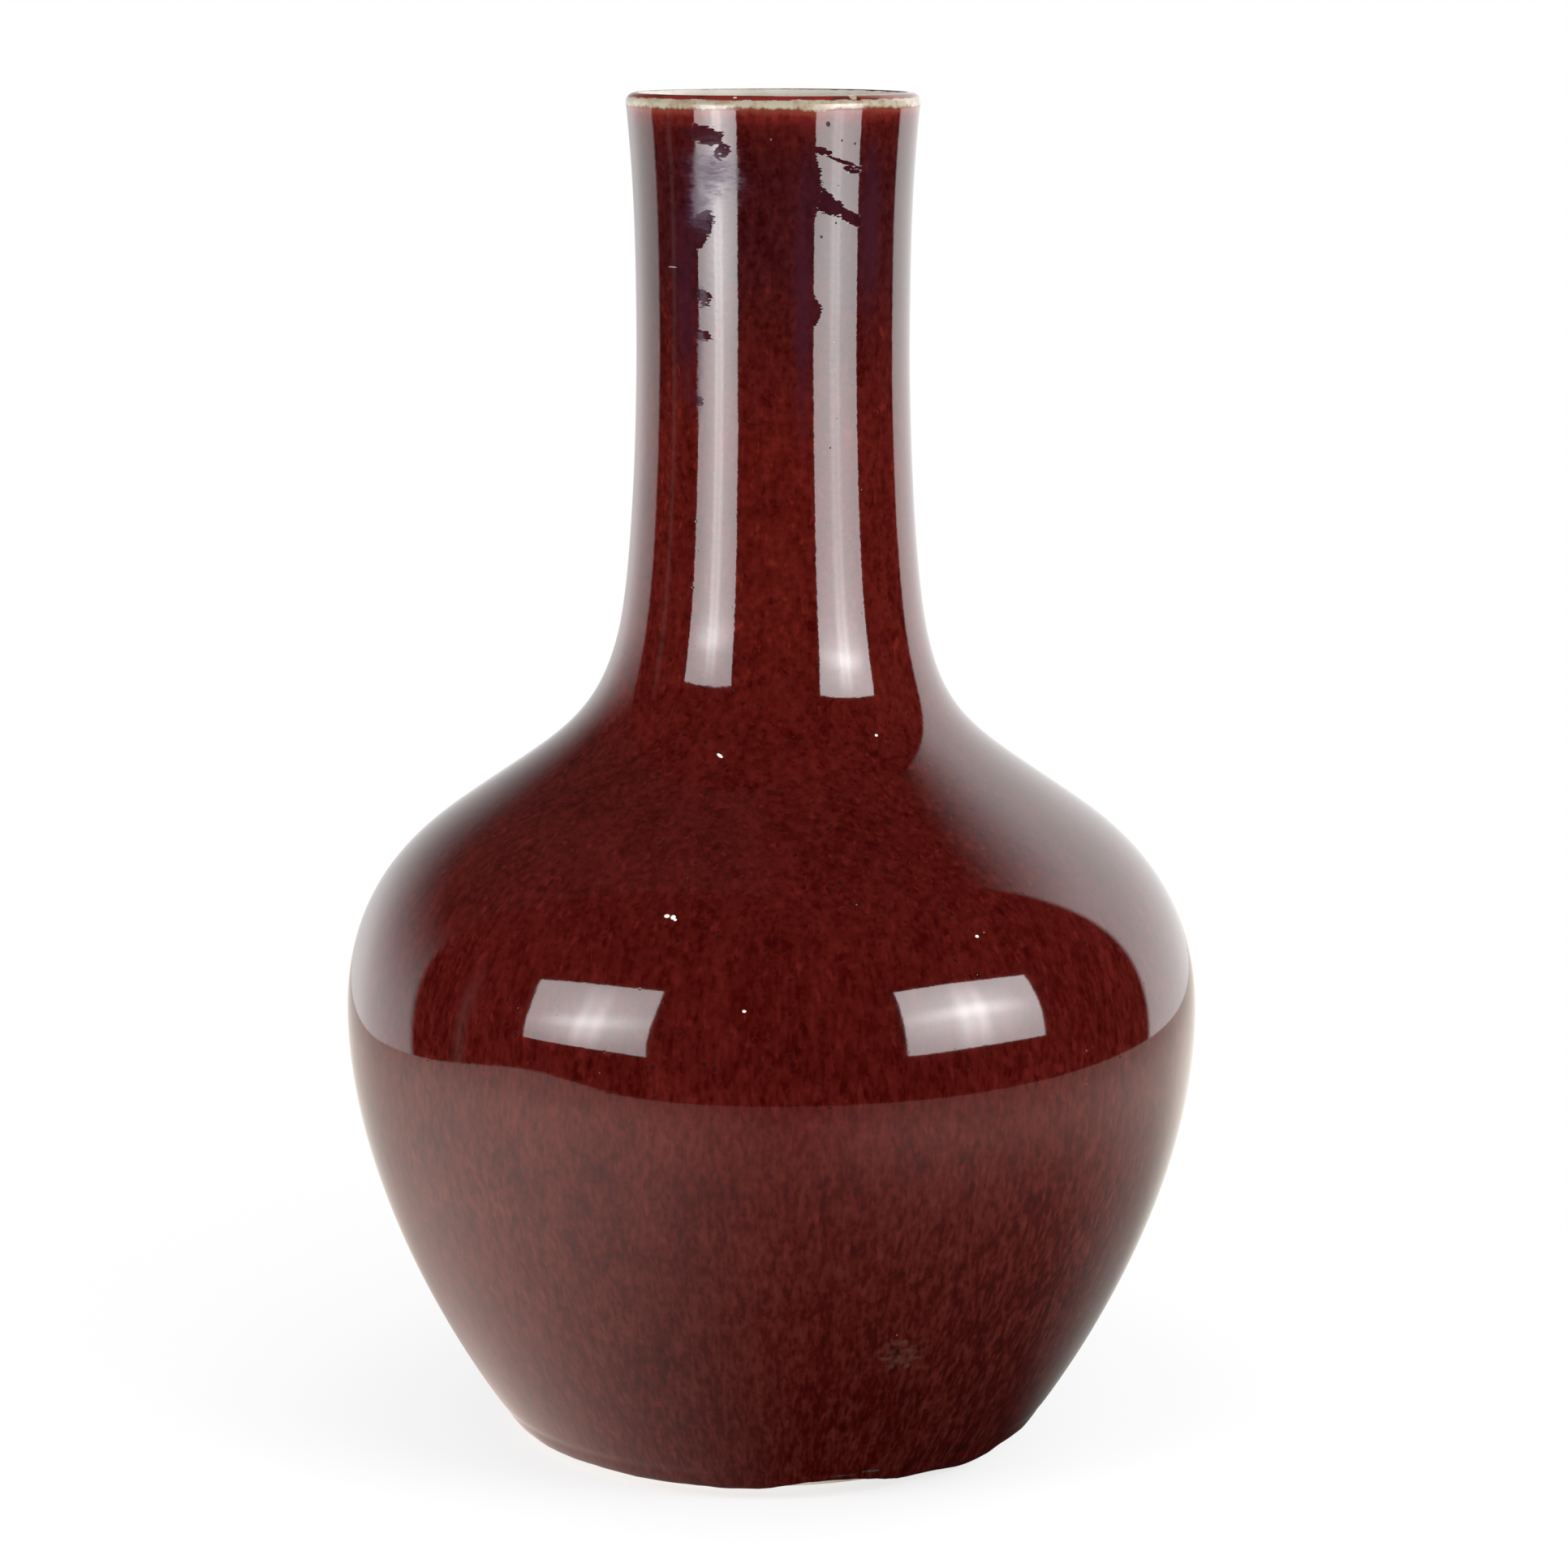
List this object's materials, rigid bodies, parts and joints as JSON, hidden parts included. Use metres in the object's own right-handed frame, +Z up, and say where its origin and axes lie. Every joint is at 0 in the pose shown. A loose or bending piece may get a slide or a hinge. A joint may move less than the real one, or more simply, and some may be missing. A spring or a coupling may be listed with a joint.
{
  "type": "globe vase",
  "caption": "Tall globe vase with a round belly, a long slightly flared neck, a plain rounded lip and a recessed foot ring. It stands freely and holds water and stems.",
  "frame": {"origin": "centre of the foot ring, on the plane that the vase stands on", "axes": "+Z up along the vase's axis, from the foot to the mouth; the vase is the same all round"},
  "size_m": [0.255, 0.255, 0.4],
  "materials": {
    "porcelain": "fired bare clay, ground smooth and matt at the foot ring, slightly rusty at the edge of the glaze",
    "slip": "fired joining slip, matt, hidden between the sections",
    "red_glaze": "thick glossy copper-red glaze, dark oxblood with brighter red flecks, dark specks and fine downward streaks",
    "lip_glaze": "thin glossy pale greenish-cream glaze where the red has drained from the lip",
    "inner_glaze": "glossy pale grey-green glaze inside",
    "base_glaze": "glossy pale cream glaze under the base"
  },
  "bodies": {
    "root": {"lower_bowl": "porcelain", "upper_bowl": "porcelain", "neck": "porcelain", "belly_seam": "slip", "neck_seam": "slip", "red_glaze": "red_glaze", "lip_glaze": "lip_glaze", "inner_glaze": "inner_glaze", "base_glaze": "base_glaze"}
  },
  "joints": []
}
